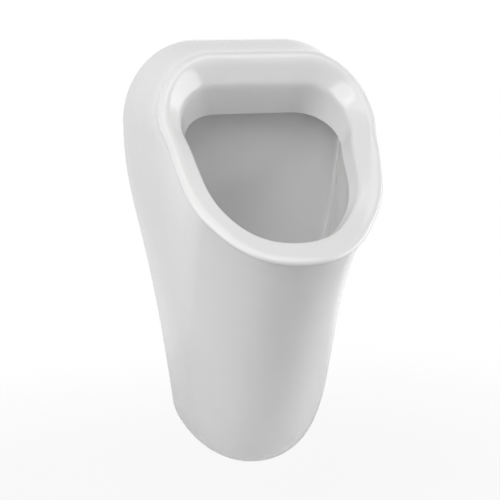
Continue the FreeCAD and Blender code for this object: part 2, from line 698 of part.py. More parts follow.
# ---- trap -------------------------------------------------------------------------------------------
TRAP_TOP = -TRAP_TOP_DROP
TRAP_BOTTOM = TRAP_TOP - TRAP_HEIGHT
NECK_TOP = TRAP_TOP + TRAP_NECK
CUP_BOTTOM = TRAP_BOTTOM - CUP_BELOW
CUP_TOP = TRAP_BOTTOM + CUP_OVERLAP
DUCT_AXIS = CUP_TOP + DUCT_ABOVE_CUP + DUCT_R
LEG_BOTTOM = DUCT_AXIS - DUCT_R - LEG_FOOT
LEG_TOP = -LEG_TOP_DROP


def behind(depth, height):
    """A point in the middle plane, at a depth and a height above the bowl floor."""
    return FreeCAD.Vector(0, -depth, FLOOR_Z + height)


def trap_body():
    """A bottle under the drain, a duct back from it and a leg that rises to the outlet."""
    leg_height = LEG_TOP - LEG_BOTTOM
    spigot_end = OUTLET_PIPE - SPIGOT_IN_PIPE
    spigot_length = LEG_DEPTH - spigot_end
    spigot_bore = SPIGOT_R - OUTLET_WALL
    duct_length = DRAIN_DEPTH - LEG_DEPTH
    outer = Part.makeCylinder(TRAP_R, TRAP_HEIGHT, drain(TRAP_BOTTOM)).fuse([
        Part.makeCylinder(TRAP_NECK_R, TRAP_NECK, drain(TRAP_TOP)),
        Part.makeCylinder(LEG_R, leg_height, behind(LEG_DEPTH, LEG_BOTTOM)),
        Part.makeCylinder(DUCT_R, duct_length, behind(DRAIN_DEPTH, DUCT_AXIS), Y),
        Part.makeCylinder(SPIGOT_R, spigot_length, behind(LEG_DEPTH, -OUTLET_DROP), Y)])
    outer = outer.removeSplitter()
    inner = Part.makeCylinder(TRAP_R - TRAP_WALL, TRAP_HEIGHT - TRAP_WALL, drain(TRAP_BOTTOM)).fuse([
        Part.makeCylinder(TAIL_R + UNION_GAP, TRAP_NECK + 2 * TRAP_WALL, drain(TRAP_TOP - TRAP_WALL)),
        Part.makeCylinder(LEG_R - TRAP_WALL, leg_height - 2 * TRAP_WALL,
                          behind(LEG_DEPTH, LEG_BOTTOM + TRAP_WALL)),
        Part.makeCylinder(DUCT_R - TRAP_WALL, duct_length, behind(DRAIN_DEPTH, DUCT_AXIS), Y),
        Part.makeCylinder(spigot_bore, spigot_length + 1, behind(LEG_DEPTH, -OUTLET_DROP), Y)])
    return outer.cut(inner)


def trap_union_nut():
    top = NECK_TOP + UNION_SEAL + UNION_LIP
    inner = TRAP_NECK_R + UNION_GAP
    outer = inner + UNION_WALL
    nut = Part.makeCylinder(outer, UNION_SKIRT + UNION_SEAL + UNION_LIP, drain(NECK_TOP - UNION_SKIRT))
    nut = nut.cut(Part.makeCylinder(inner, UNION_SKIRT + UNION_SEAL, drain(NECK_TOP - UNION_SKIRT)))
    nut = nut.cut(Part.makeCylinder(TAIL_R + UNION_GAP, 2 * UNION_LIP, drain(top - UNION_LIP - 1)))
    return with_ribs(nut, drain(NECK_TOP - UNION_SKIRT), Z, outer, UNION_SKIRT)


def with_ribs(nut, base, direction, radius, length):
    """Grip ribs round a nut."""
    side = unit(direction.cross(X if abs(direction.x) < 0.5 else Y))
    other = direction.cross(side)
    ribs = []
    for i in range(GRIP_RIBS):
        a = 2 * math.pi * i / GRIP_RIBS
        at = base + side * (radius * math.cos(a)) + other * (radius * math.sin(a))
        ribs.append(Part.makeCylinder(GRIP_RIB_R, length, at, direction))
    core = Part.makeCylinder(radius - GRIP_RIB_R / 2, length, base, direction)
    return nut.fuse([rib.cut(core) for rib in ribs])


def trap_union_seal():
    return tube(TRAP_NECK_R, TAIL_R + THREAD_GAP, drain(NECK_TOP), Z, UNION_SEAL)


def trap_cup():
    """The cup that closes the bottle from below."""
    inner = TRAP_R + UNION_GAP
    height = CUP_OVERLAP + CUP_BELOW
    cup = Part.makeCylinder(CUP_R, height, drain(CUP_BOTTOM))
    cup = cup.cut(Part.makeCylinder(inner, height, drain(TRAP_BOTTOM - CUP_SEAL)))
    bowl_r = TRAP_R - TRAP_WALL
    return cup.cut(Part.makeCylinder(bowl_r, height, drain(CUP_BOTTOM + TRAP_WALL)))


def trap_cup_seal():
    return tube(TRAP_R, TRAP_R - TRAP_WALL, drain(TRAP_BOTTOM - CUP_SEAL), Z, CUP_SEAL)


# ---- waste outlet -----------------------------------------------------------------------------------
NUT_INNER_R = OUTLET_END_R + UNION_GAP
NUT_OUTER_R = NUT_INNER_R + OUTLET_NUT_WALL


def outlet_pipe():
    end = behind(OUTLET_PIPE, -OUTLET_DROP)
    pipe = Part.makeCylinder(OUTLET_END_R, OUTLET_PIPE, end, Y)
    free = Part.makeCylinder(OUTLET_R, OUTLET_PIPE_FREE, behind(OUTLET_PIPE_FREE, -OUTLET_DROP), Y)
    return pipe.fuse(free).cut(Part.makeCylinder(OUTLET_R - OUTLET_WALL, OUTLET_PIPE, end, Y))


def outlet_seal():
    front = OUTLET_PIPE + OUTLET_SEAL
    return tube(OUTLET_END_R, SPIGOT_R + THREAD_GAP, behind(front, -OUTLET_DROP), Y, OUTLET_SEAL)


def outlet_nut():
    front = behind(OUTLET_PIPE + OUTLET_SEAL + OUTLET_NUT_LIP, -OUTLET_DROP)
    nut = Part.makeCylinder(NUT_OUTER_R, OUTLET_NUT, front, Y)
    nut = nut.cut(Part.makeCylinder(SPIGOT_R + UNION_GAP, OUTLET_NUT, front, Y))
    room = OUTLET_NUT - OUTLET_NUT_LIP
    start = behind(OUTLET_PIPE + OUTLET_SEAL, -OUTLET_DROP)
    nut = nut.cut(Part.makeCylinder(NUT_INNER_R, room, start, Y))
    return with_ribs(nut, start, Y, NUT_OUTER_R, room)


# ---- write every node -------------------------------------------------------------------------------
NODES = {
    "ceramic_body": ceramic_body,
    "hanger_bracket_left": lambda: bracket(-1),
    "hanger_bracket_right": lambda: bracket(1),
    "bracket_pads": bracket_pads,
    "inlet_spud": inlet_spud,
    "inlet_washer": inlet_washer,
    "inlet_nut": inlet_nut,
    "nozzle_seal": nozzle_seal,
    "spreader_nozzle": spreader_nozzle,
    "drain_upper_seal": upper_seal,
    "drain_flange": drain_flange,
    "drain_lower_seal": lower_seal,
    "drain_backnut": drain_backnut,
    "dip_tube": dip_tube,
    "dip_tube_ring": dip_tube_ring,
    "outlet_strainer": outlet_strainer,
    "trap_body": trap_body,
    "trap_union_nut": trap_union_nut,
    "trap_union_seal": trap_union_seal,
    "trap_cup": trap_cup,
    "trap_cup_seal": trap_cup_seal,
    "outlet_pipe": outlet_pipe,
    "outlet_seal": outlet_seal,
    "outlet_nut": outlet_nut,
}

os.makedirs("parts", exist_ok=True)
for name, make in NODES.items():
    shape = make()
    shape.exportStep("parts/" + name + ".step")
    box = shape.BoundBox
    print(name, len(shape.Solids), "solid(s)", "valid" if shape.isValid() else "INVALID",
          round(shape.Volume / 1000, 1), "cm3, x", round(box.XMin, 1), round(box.XMax, 1),
          "y", round(box.YMin, 1), round(box.YMax, 1), "z", round(box.ZMin, 1), round(box.ZMax, 1))
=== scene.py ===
# %% [markdown]
# # A wall hung urinal, dressed for a studio picture
# The object is a glazed ceramic shell with a hood, a rolled rim and a deep bowl. Its pieces come from
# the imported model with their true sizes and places, in metres, so nothing here has to be fitted by eye.
# The wall is the plane y = 0, the object stands in front of it at negative y, and z is up.

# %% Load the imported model
import json
import math
import bmesh
import bpy
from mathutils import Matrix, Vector

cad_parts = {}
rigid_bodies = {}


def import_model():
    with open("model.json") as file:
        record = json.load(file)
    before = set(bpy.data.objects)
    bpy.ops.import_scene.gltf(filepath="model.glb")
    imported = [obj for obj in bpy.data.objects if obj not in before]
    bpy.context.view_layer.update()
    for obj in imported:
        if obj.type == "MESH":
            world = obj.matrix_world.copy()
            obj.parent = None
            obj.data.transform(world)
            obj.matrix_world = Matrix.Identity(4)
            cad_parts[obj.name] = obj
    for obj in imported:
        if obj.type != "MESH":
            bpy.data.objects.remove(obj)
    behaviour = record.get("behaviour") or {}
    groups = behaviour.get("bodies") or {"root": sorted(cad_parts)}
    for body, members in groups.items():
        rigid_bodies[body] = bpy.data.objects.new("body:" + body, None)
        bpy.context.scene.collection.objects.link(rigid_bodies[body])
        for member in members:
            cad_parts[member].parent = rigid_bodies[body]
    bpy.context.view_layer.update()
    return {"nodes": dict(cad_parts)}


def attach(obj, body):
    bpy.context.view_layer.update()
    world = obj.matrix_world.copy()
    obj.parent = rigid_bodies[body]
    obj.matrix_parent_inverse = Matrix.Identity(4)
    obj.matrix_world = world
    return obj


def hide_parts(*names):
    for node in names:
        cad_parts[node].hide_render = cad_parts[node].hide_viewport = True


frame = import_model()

# %% [markdown]
# ## The camera
# A long lens keeps the sides of the object nearly parallel, as in a catalogue picture. It could be
# placed by eye, but its place was worked out from the outline instead: it stands on the left, about
# 1.6 metres from the fixing point, and looks 14.7 degrees to the right and 13.8 degrees down. That way
# the render can be laid over the photograph.

# %% Place the camera
camera_place = Vector((-0.3854, -1.5341, 0.2077))
turn_to_right = math.radians(14.70)
look_down = math.radians(13.79)
looking = Vector((math.sin(turn_to_right) * math.cos(look_down),
                  math.cos(turn_to_right) * math.cos(look_down),
                  -math.sin(look_down)))
camera_data = bpy.data.cameras.new("studio_camera")
camera_data.lens = 75.6
camera_data.sensor_width = 36.0
camera = bpy.data.objects.new("studio_camera", camera_data)
camera.location = camera_place
camera.rotation_euler = looking.to_track_quat("-Z", "Y").to_euler()
bpy.context.scene.collection.objects.link(camera)
bpy.context.scene.camera = camera
print("camera at", [round(c, 3) for c in camera_place], "lens", camera_data.lens, "mm")

# %% [markdown]
# ## The shape of the ceramic
# The ceramic could be modelled as a cage of a few dozen faces under a subdivision surface. But its form
# is a set of closed loops, such as the outline on the wall, the neck under the rim and the mouth, with
# smooth skins drawn over them, so it is made in the same way. Every size is in millimetres and is
# turned into metres only when a mesh is made. A spot says how far it is to the right, how far out from
# the wall and how far down from the top, which is how such a thing is measured on the wall.

# %% Sizes of the ceramic, in millimetres
width = 350.0
height = 642.0
depth = 350.0
fixing_drop = 140.0
rim_overhang = 7.0
half_width = width / 2
lip_depth = depth - rim_overhang
print("each half is", half_width, "mm wide, and the lip is", lip_depth, "mm out from the wall")

# %% Directions and spots
right = Vector((1, 0, 0))
back = Vector((0, 1, 0))
up = Vector((0, 0, 1))


def spot(x, out, drop):
    """A point to the right, out from the wall and down from the top."""
    return Vector((x, -out, fixing_drop - drop))


print("top middle of the outline on the wall:", tuple(spot(0, 0, 0)))

# %% [markdown]
# ## Closed loops
# Each loop is four cubic curves on the right side: the flat top, the upper corner, the side and the
# round bottom. The left side is the same, mirrored. A cubic curve needs two knots, the way it leaves
# and arrives, and the length of its two handles, just like a curve drawn by hand in Blender. Handles of
# a third of the distance give an even curve, and longer ones a fuller corner. Every loop has the same
# number of points, so that the skins can join them point by point.

# %% Points round a loop
fineness = 5
stations = tuple(fineness * n for n in (3, 7, 8, 8))
half_steps = sum(stations)
loop_steps = 2 * half_steps
print("points on each of the four curves:", stations, "and round each loop:", loop_steps)

# %% Draw a closed loop
even_handles = (1 / 3, 1 / 3)
full_handles = (0.39, 0.39)
tight_handles = (0.60, 0.60)


def curve_points(p, q, p_way, q_way, handles, count):
    chord = (q - p).length
    a = p + p_way.normalized() * chord * handles[0]
    b = q - q_way.normalized() * chord * handles[1]
    points = []
    for i in range(count):
        t = i / count
        s = 1.0 - t
        points.append(p * s ** 3 + a * (3 * s * s * t) + b * (3 * s * t * t) + q * t ** 3)
    return points


def closed_loop(knots, side_way, front_way, side_handles=even_handles, corner_handles=full_handles):
    """Top middle, end of the flat, start and end of the side, bottom middle; mirrored to the left."""
    ways = [right, right, side_way, front_way, -right]
    handles = [even_handles, corner_handles, side_handles, full_handles]
    half = []
    for i, count in enumerate(stations):
        half += curve_points(knots[i], knots[i + 1], ways[i], ways[i + 1], handles[i], count)
    half.append(knots[-1].copy())
    return half + [Vector((-p.x, p.y, p.z)) for p in half[-2:0:-1]]


print("handles, from an even curve to a tight corner:", even_handles, full_handles, tight_handles)

# %% The outline on the wall
top_flat = 67
side_top = spot(half_width, 0, 118)
side_bottom = spot(109, 0, height - 87)
wall_outline = closed_loop(
    [spot(0, 0, 0), spot(top_flat, 0, 0), side_top, side_bottom, spot(0, 0, height)],
    -up, Vector((-0.12, 0, -1)), (0.29, 0.71))
print("outline on the wall:", len(wall_outline), "points")

# %% The neck and the mouth
neck_out, neck_drop = 109.5, 12
neck_knots = [spot(0, neck_out, neck_drop), spot(top_flat, neck_out, neck_drop),
              spot(half_width - 27, 178, 115), spot(half_width - 63, lip_depth - 67, 214),
              spot(0, lip_depth, 259)]
neck = closed_loop(neck_knots, neck_knots[3] - neck_knots[2], Vector((-0.92, -1.07, -1)))
hood_edge_out, hood_edge_drop = 85, 100
side_top_drop, side_bottom_drop, front_drop = 143, 212, 244
mouth_knots = [spot(0, hood_edge_out, hood_edge_drop), spot(57, hood_edge_out, hood_edge_drop),
               spot(half_width - 66, 153.5, side_top_drop),
               spot(half_width - 93, lip_depth - 90, side_bottom_drop),
               spot(0, lip_depth - 46, front_drop)]
mouth = closed_loop(mouth_knots, mouth_knots[3] - mouth_knots[2], Vector((-0.83, -1.07, -1)))
print("the mouth starts", hood_edge_drop, "mm below the top, under the hood")

# %% [markdown]
# ## The body
# The body leaves the wall nearly squarely and comes up to the neck at its own slope, which is two more
# loops between them. At the top it is a short hood, at the bottom a long slope, so how far those loops
# reach grows on the way down. It has to grow evenly and to be level at the bottom middle, because a
# kink there would show as a ridge down the glossy front. Half a cosine wave does that.

# %% What changes on the way down a loop
def share(i):
    """0 on the flat top of a loop, 1 at its bottom middle, and level at both."""
    h = min(i, loop_steps - i) / half_steps
    flat = stations[0] / half_steps
    along = max(0.0, (h - flat) / (1.0 - flat))
    return 0.5 - 0.5 * math.cos(math.pi * along)


def between(at_top, at_bottom, s):
    return at_top * (1 - s) + at_bottom * s


print("share half way down:", round(share(half_steps // 2), 3))

# %% Loops of the body
wall_reach = (31.0, 241.0)
neck_reach = (42.0, 281.0)
taper_per_100 = 0.052
neck_pinch = 0.98
slope_at_bottom = Vector((0, 0.49, -0.67))


def body_loops():
    leaving = []
    arriving = []
    for i, p in enumerate(wall_outline):
        s = share(i)
        reach = between(*wall_reach, s)
        leaving.append(Vector((p.x * (1 - taper_per_100 * reach / 100), p.y - reach, p.z)))
        run = back.lerp(slope_at_bottom, s).normalized()
        q = neck[i] + run * between(*neck_reach, s)
        arriving.append(Vector((q.x * neck_pinch, q.y, q.z)))
    return [wall_outline, leaving, arriving, neck]


print("loops of the body:", len(body_loops()))

# %% [markdown]
# ## The rolled rim
# The rim is a soft bead that stands a little proud of the line from neck to mouth, and hangs over the
# body at the sides and the front. It could be a tube laid along the neck, but a real rim is wide and
# flat on top with a tight outer edge. So its cross section is written down once, as rows, and is set
# up square to the rim at every point round it.

# %% Which way the rim faces
def rim_ways(i):
    """Across the rim from mouth to neck, and straight out of its face."""
    around = (neck[(i + fineness) % loop_steps] - neck[i - fineness]).normalized()
    across = neck[i] - mouth[i]
    across = (across - around * across.dot(around)).normalized()
    proud = around.cross(across)
    if proud.dot(up - back) < 0:
        proud = -proud
    return across, proud


print("rim faces", [round(c, 2) for c in rim_ways(half_steps)[1]], "at the lip")

# %% Loops of the rim
rim_height = (15.0, 12.0)
crest_place = (0.44, 0.66)
full_overhang_from = 0.35
# Each row: how far along to the crest, how far beyond it to the mouth, overhang, rise.
rim_section = [
    (0.0, 0.0, 0.9, 0.08), (0.0, 0.0, 1.15, 0.68), (0.22, 0.0, 0.35, 1.00), (0.62, 0.0, 0.0, 1.06),
    (0.92, 0.0, 0.0, 1.16), (1.0, 0.12, 0.0, 1.13), (1.0, 0.42, 0.0, 0.68)]


def rim_loop(along, beyond, overhang, rise):
    loop = []
    for i in range(loop_steps):
        s = share(i)
        across, proud = rim_ways(i)
        hang = rim_overhang * min(1.0, s / full_overhang_from)
        crest = between(*crest_place, s)
        base = neck[i].lerp(mouth[i], crest * along + (1 - crest) * beyond)
        loop.append(base + across * (overhang * hang) + proud * (rise * between(*rim_height, s)))
    return loop


rim_loops = [neck] + [rim_loop(*row) for row in rim_section] + [mouth]
print("loops on the rim:", len(rim_loops))

# %% [markdown]
# ## The bowl
# The bowl runs from the mouth back under the hood, down, and in to the round seat of the drain. It
# could be a stretched sphere, but then its back would be round too. A real one has a flat back wall,
# and the glaze shows a crisp line where that wall meets the sides, so the back corners of its loops
# are pulled tight with long handles. How deep a loop lies is written as a sink: 0 is level with the
# mouth and 1 is on the floor.

# %% Loops behind the mouth
drain_depth = 150.0
floor_drop = height - 236.0
floor_z = fixing_drop - floor_drop
drain_middle = Vector((0, -drain_depth, floor_z))


def behind_mouth(outwards, inside):
    loop = []
    for i in range(loop_steps):
        across, proud = rim_ways(i)
        loop.append(mouth[i] + across * outwards - proud * inside)
    return loop


def round_loop(centre, radius, away):
    turns = [2 * math.pi * i / loop_steps for i in range(loop_steps)]
    return [centre + away * (radius * math.cos(a)) + right * (radius * math.sin(a)) for a in turns]


def seat_loop(radius, rise):
    return round_loop(drain_middle + up * rise, radius, back)


print("bowl floor", floor_drop, "mm below the top, drain", drain_depth, "mm out from the wall")

# %% Loops inside the bowl
ceiling = (27.0 - hood_edge_drop) / (floor_drop - hood_edge_drop)
# Each row: half of the flat, rear (out, sink), start of the side (in from the widest, out, sink),
# end of the side (in from the widest, back from the lip, sink), front (back from the lip, sink).
bowl_rows = [
    (60, (95, ceiling + 0.023), (51, 120, -0.133), (71, 118, 0.10), (43, 0.19)),
    (70, (60, ceiling), (39, 80, -0.16), (69, 153, 0.26), (53, 0.38)),
    (100, (45, ceiling + 0.075), (33, 60, -0.01), (67, 173, 0.40), (75, 0.59)),
    (108, (45, 0.20), (39, 60, 0.27), (77, 178, 0.56), (93, 0.765)),
    (98, (47, 0.59), (52, 64, 0.60), (93, 183, 0.71), (108, 0.89)),
    (66, (66, 0.88), (87, 90, 0.88), (115, 163, 0.91), (131, 0.965))]


def bowl_loop(flat, rear, side, front, lip):
    def sunk(at_mouth, sink):
        return at_mouth + sink * (floor_drop - at_mouth)
    knots = [spot(0, rear[0], sunk(hood_edge_drop, rear[1])),
             spot(flat, rear[0], sunk(hood_edge_drop, rear[1])),
             spot(half_width - side[0], side[1], sunk(side_top_drop, side[2])),
             spot(half_width - front[0], lip_depth - front[1], sunk(side_bottom_drop, front[2])),
             spot(0, lip_depth - lip[0], sunk(front_drop, lip[1]))]
    return closed_loop(knots, knots[3] - knots[2], knots[4] - knots[2], corner_handles=tight_handles)


seat_edge = seat_loop(44, 1.2)
seat_flat = seat_loop(36, 0.0)
hollow_loops = [bowl_loop(*row) for row in bowl_rows] + [seat_edge, seat_flat]
print("loops inside the bowl:", len(hollow_loops))

# %% [markdown]
# ## From loops to skins
# Blender could loft the loops with a surface object, but a mesh is easier to cut later. So a skin is
# worked out here: a cubic B-spline starts on the first loop and ends on the last, and the loops between
# them pull it towards themselves without a kink. Rings of the skin are then joined by four-sided faces,
# and a flat face closes each end.

# %% Weights of a spline
def spline_weights(t, count, degree=3):
    """How much each of count loops pulls on a point a share t along the skin."""
    spans = count - degree
    knots = [0.0] * degree + [i / spans for i in range(spans + 1)] + [1.0] * degree
    weights = [1.0 if knots[i] <= t < knots[i + 1] else 0.0 for i in range(len(knots) - 1)]
    if t >= 1.0:
        weights[count - 1] = 1.0
    for d in range(1, degree + 1):
        for i in range(len(knots) - 1 - d):
            before = knots[i + d] - knots[i]
            after = knots[i + d + 1] - knots[i + 1]
            a = (t - knots[i]) / before * weights[i] if before > 0 else 0.0
            b = (knots[i + d + 1] - t) / after * weights[i + 1] if after > 0 else 0.0
            weights[i] = a + b
    return weights[:count]


print("weights of four loops half way:", [round(w, 3) for w in spline_weights(0.5, 4)])

# %% Rings of a skin
def skin_rings(loops, steps):
    rings = []
    for j in range(steps + 1):
        weights = spline_weights(j / steps, len(loops))
        ring = []
        for i in range(loop_steps):
            p = Vector((0, 0, 0))
            for loop, w in zip(loops, weights):
                if w:
                    p += loop[i] * w
            ring.append(p)
        rings.append(ring)
    return rings


body_steps, rim_steps, bowl_steps = 44, 30, 64
bowl_loops = [mouth, behind_mouth(4, 9), behind_mouth(13, 20)] + hollow_loops
outer_rings = (skin_rings(body_loops(), body_steps)
               + skin_rings(rim_loops, rim_steps)[1:]
               + skin_rings(bowl_loops, bowl_steps)[1:])
print("rings from the wall, over the rim and down to the drain:", len(outer_rings))

# %% Faces between rings
def ring_faces(count):
    """Four-sided faces between count rings, and a flat cap on the first and the last."""
    faces = [list(range(loop_steps))[::-1]]
    for j in range(count - 1):
        here = j * loop_steps
        there = here + loop_steps
        for i in range(loop_steps):
            k = (i + 1) % loop_steps
            faces.append([here + i, here + k, there + k, there + i])
    faces.append([(count - 1) * loop_steps + i for i in range(loop_steps)])
    return faces


print("faces between two rings:", len(ring_faces(2)) - 2, "and two caps")

# %% Make a closed mesh
mm = 0.001


def closed_mesh(name, rings):
    mesh = bpy.data.meshes.new(name)
    mesh.from_pydata([tuple(p * mm) for ring in rings for p in ring], [], ring_faces(len(rings)))
    made = bpy.data.objects.new(name, mesh)
    bpy.context.scene.collection.objects.link(made)
    shape = bmesh.new()
    shape.from_mesh(mesh)
    bmesh.ops.recalc_face_normals(shape, faces=shape.faces)
    if shape.calc_volume(signed=True) < 0:
        bmesh.ops.reverse_faces(shape, faces=shape.faces)
    shape.to_mesh(mesh)
    print(name, len(mesh.polygons), "faces", round(shape.calc_volume() * 1e6), "cm3")
    shape.free()
    return made


ceramic = closed_mesh("ceramic_shell", outer_rings)

# %% [markdown]
# ## Tools that cut
# A real urinal is cast as a shell, so its back is hollow. A Solidify modifier could give it one even
# wall, but the closed back panel, the slots and the seats need cuts of their own. Boolean modifiers do
# both. Each takes one tool, a block or a rod of exact size, and is turned into mesh at once, so that
# no modifier is left waiting. The tool is used up.

# %% Cut and join
def worked(target, tool, operation="DIFFERENCE"):
    """Cut the tool from the target, or join it to it; the tool is used up."""
    step = target.modifiers.new("step", "BOOLEAN")
    step.operation = operation
    step.solver = "MANIFOLD"
    step.object = tool
    bpy.context.view_layer.update()
    result = bpy.data.meshes.new_from_object(target.evaluated_get(bpy.context.evaluated_depsgraph_get()))
    target.modifiers.clear()
    target.data = result
    bpy.data.objects.remove(tool)
    print(target.name, operation.lower(), "leaves", len(result.polygons), "faces")

# %% Blocks
def finished_tool(shape):
    mesh = bpy.data.meshes.new("tool")
    bmesh.ops.recalc_face_normals(shape, faces=shape.faces)
    shape.to_mesh(mesh)
    shape.free()
    tool = bpy.data.objects.new("tool", mesh)
    bpy.context.scene.collection.objects.link(tool)
    return tool


def block(x0, x1, out0, out1, drop0, drop1):
    low = spot(x0, out1, drop1) * mm
    high = spot(x1, out0, drop0) * mm
    shape = bmesh.new()
    bmesh.ops.create_cube(shape, size=1.0)
    for v in shape.verts:
        v.co = Vector(low[a] if v.co[a] < 0 else high[a] for a in range(3))
    return finished_tool(shape)


print("a block is given by its sides: left, right, near the wall, far from it, top and bottom")

# %% Rods
rod_sides = 72


def rod(start, radius, length, way):
    shape = bmesh.new()
    bmesh.ops.create_cone(shape, cap_ends=True, segments=rod_sides, radius1=radius * mm,
                          radius2=radius * mm, depth=length * mm)
    turn = up.rotation_difference(way).to_matrix().to_4x4()
    turn.translation = (start + way * (length / 2)) * mm
    bmesh.ops.transform(shape, matrix=turn, verts=shape.verts)
    return finished_tool(shape)


print("rods have", rod_sides, "sides")

# %% [markdown]
# ## Hollow the back
# The hollow is the body made smaller by the wall's thickness, less the bowl made larger by it. What is
# left between them is one even wall, as in the casting. Blocks and a rod then take from the hollow what
# has to stay solid: the closed panel at the back, the top of the hood, everything in front of the pocket
# behind the bowl, and the thicker floor round the drain.

# %% Move a skin inwards
wall_thickness = 11.0


def moved_in(loops, amount):
    moved = []
    for j, loop in enumerate(loops):
        before = loops[max(j - 1, 0)]
        after = loops[min(j + 1, len(loops) - 1)]
        ring = []
        for i, p in enumerate(loop):
            around = loop[(i + fineness) % loop_steps] - loop[i - fineness]
            ring.append(p + around.cross(after[i] - before[i]).normalized() * amount)
        moved.append(ring)
    return moved


def head_loop(rise, radius):
    """A small loop over the middle of the mouth, which closes a skin at that end."""
    centre = mouth[0].lerp(mouth[half_steps], 0.5)
    return round_loop(centre + (up - back).normalized() * rise, radius, (up + back).normalized())


inner = moved_in(body_loops(), wall_thickness)
inner[0] = [Vector((p.x, wall_thickness, p.z)) for p in inner[0]]
cavity = closed_mesh("cavity", skin_rings(inner, 30) + [head_loop(20, 20)])

# %% Keep the bowl and its wall
brim_width, brim_below, cover_above = 30.0, 15.0, 30.0
brim = []
cover = []
for i in range(loop_steps):
    across, proud = rim_ways(i)
    brim.append(neck[i] + across * brim_width - proud * brim_below)
    cover.append(neck[i] + across * brim_width + proud * cover_above)
jacket = skin_rings(moved_in(hollow_loops, wall_thickness), 36)
worked(cavity, closed_mesh("bowl_jacket", [head_loop(90, 30), cover, brim] + jacket))

# %% Keep the panel, the hood and the drain's seat
solid_blocks = {
    "back panel": (-400, 400, -30, 12, -400, 330),
    "top of the hood": (-400, 400, -30, 500, -400, 32),
    "ceramic in front of the pocket": (-400, 400, 35, 800, -400, 310)}
for place, sides in solid_blocks.items():
    print("keep the", place)
    worked(cavity, block(*sides))
drain_pad, drain_pad_radius = 14, 44
print("keep", drain_pad, "mm under the drain's seat")
worked(cavity, rod(drain_middle - up * drain_pad, drain_pad_radius, drain_pad + 1, up))

# %% [markdown]
# ## Holes and seats
# Water comes in from the back under the hood and leaves through the floor. Round the inlet the bowl's
# back wall is thicker, with a flat seat in front for the nozzle, and the back panel is open there so
# that a socket can reach the nut. They could be modelled into the mesh, but a cut keeps them round and
# exactly where the fittings are. Two slots in the panel take the wall brackets.

# %% Cut the ceramic
worked(ceramic, cavity)
inlet_middle = spot(0, 0, 60)
# Each row: what is done, how far out from the wall the rod starts, its radius and its length.
inlet_rods = {
    "thicker wall": ("UNION", 47, 24, 15),
    "flat seat": ("DIFFERENCE", 58, 24, 11),
    "opening in the panel": ("DIFFERENCE", 13, 26, 14),
    "hole": ("DIFFERENCE", 90, 12.8, 90)}
for place, (operation, out, radius, length) in inlet_rods.items():
    print("inlet,", place)
    worked(ceramic, rod(inlet_middle - back * out, radius, length, back), operation)
drain_hole_radius = 24.5
worked(ceramic, rod(drain_middle - up * 2 * drain_pad, drain_hole_radius, 3 * drain_pad, up))
slot_middle, slot_half = 85, 25
slot_top, slot_bottom = 121, 183
for side in (-1, 1):
    middle_x = side * slot_middle
    slot = block(middle_x - slot_half, middle_x + slot_half, -1, 13, slot_top, slot_bottom)
    worked(ceramic, slot)

# %% [markdown]
# ## A helper for finishes
# Every finish starts as one physically based shader. A single colour would do from afar, but no real
# surface is perfectly even. So two close colours and two close roughness values are mixed by a noise
# over the piece, and a fine bump gives it its grain. Coordinates come from the object itself, so the
# grain stays put when a piece moves.

# %% Start a finish
def new_finish(name):
    finish = bpy.data.materials.new(name)
    finish.use_nodes = True
    nodes = finish.node_tree.nodes
    nodes.clear()
    output = nodes.new("ShaderNodeOutputMaterial")
    shader = nodes.new("ShaderNodeBsdfPrincipled")
    finish.node_tree.links.new(shader.outputs["BSDF"], output.inputs["Surface"])
    print("finish:", name)
    return finish, nodes, finish.node_tree.links, shader

# %% Clouds of colour and roughness
cloud_edges = (0.35, 0.65)


def add_clouds(nodes, links, shader, colours, roughness, cloud_scale, stretch=(1, 1, 1)):
    """Mix two colours and two roughness values by one soft noise."""
    place = nodes.new("ShaderNodeTexCoord")
    mapping = nodes.new("ShaderNodeMapping")
    mapping.inputs["Scale"].default_value = stretch
    clouds = nodes.new("ShaderNodeTexNoise")
    clouds.inputs["Scale"].default_value = cloud_scale
    clouds.inputs["Detail"].default_value = 4.0
    links.new(place.outputs["Object"], mapping.inputs["Vector"])
    links.new(mapping.outputs["Vector"], clouds.inputs["Vector"])
    ramp = nodes.new("ShaderNodeValToRGB")
    for stop, edge, colour in zip(ramp.color_ramp.elements, cloud_edges, colours):
        stop.position = edge
        stop.color = (*colour, 1.0)
    links.new(clouds.outputs["Fac"], ramp.inputs["Fac"])
    links.new(ramp.outputs["Color"], shader.inputs["Base Color"])
    spread = nodes.new("ShaderNodeMapRange")
    spread.inputs["To Min"].default_value = roughness[0]
    spread.inputs["To Max"].default_value = roughness[1]
    links.new(clouds.outputs["Fac"], spread.inputs["Value"])
    links.new(spread.outputs["Result"], shader.inputs["Roughness"])
    return mapping


print("clouds blend between", cloud_edges)

# %% Grain
def add_grain(nodes, links, shader, mapping, grain_scale, strength, height):
    """A fine bump on top of the true shape."""
    grain = nodes.new("ShaderNodeTexNoise")
    grain.inputs["Scale"].default_value = grain_scale
    grain.inputs["Detail"].default_value = 2.0
    links.new(mapping.outputs["Vector"], grain.inputs["Vector"])
    bump = nodes.new("ShaderNodeBump")
    bump.inputs["Strength"].default_value = strength
    bump.inputs["Distance"].default_value = height
    links.new(grain.outputs["Fac"], bump.inputs["Height"])
    links.new(bump.outputs["Normal"], shader.inputs["Normal"])


fine_grain = 0.0002
print("fine grain is", fine_grain * 1000, "mm high")

# %% [markdown]
# ## The glaze
# Sanitary ware is white clay under a thick, glassy glaze. The glaze is nearly a mirror at a shallow
# angle, and it settles with a very soft waviness that shows only in its highlights. A plain white
# with one sharp gloss would look like plastic. So the shader is white with a low roughness under a
# thin, smoother coat, and the bump is wide and almost flat.

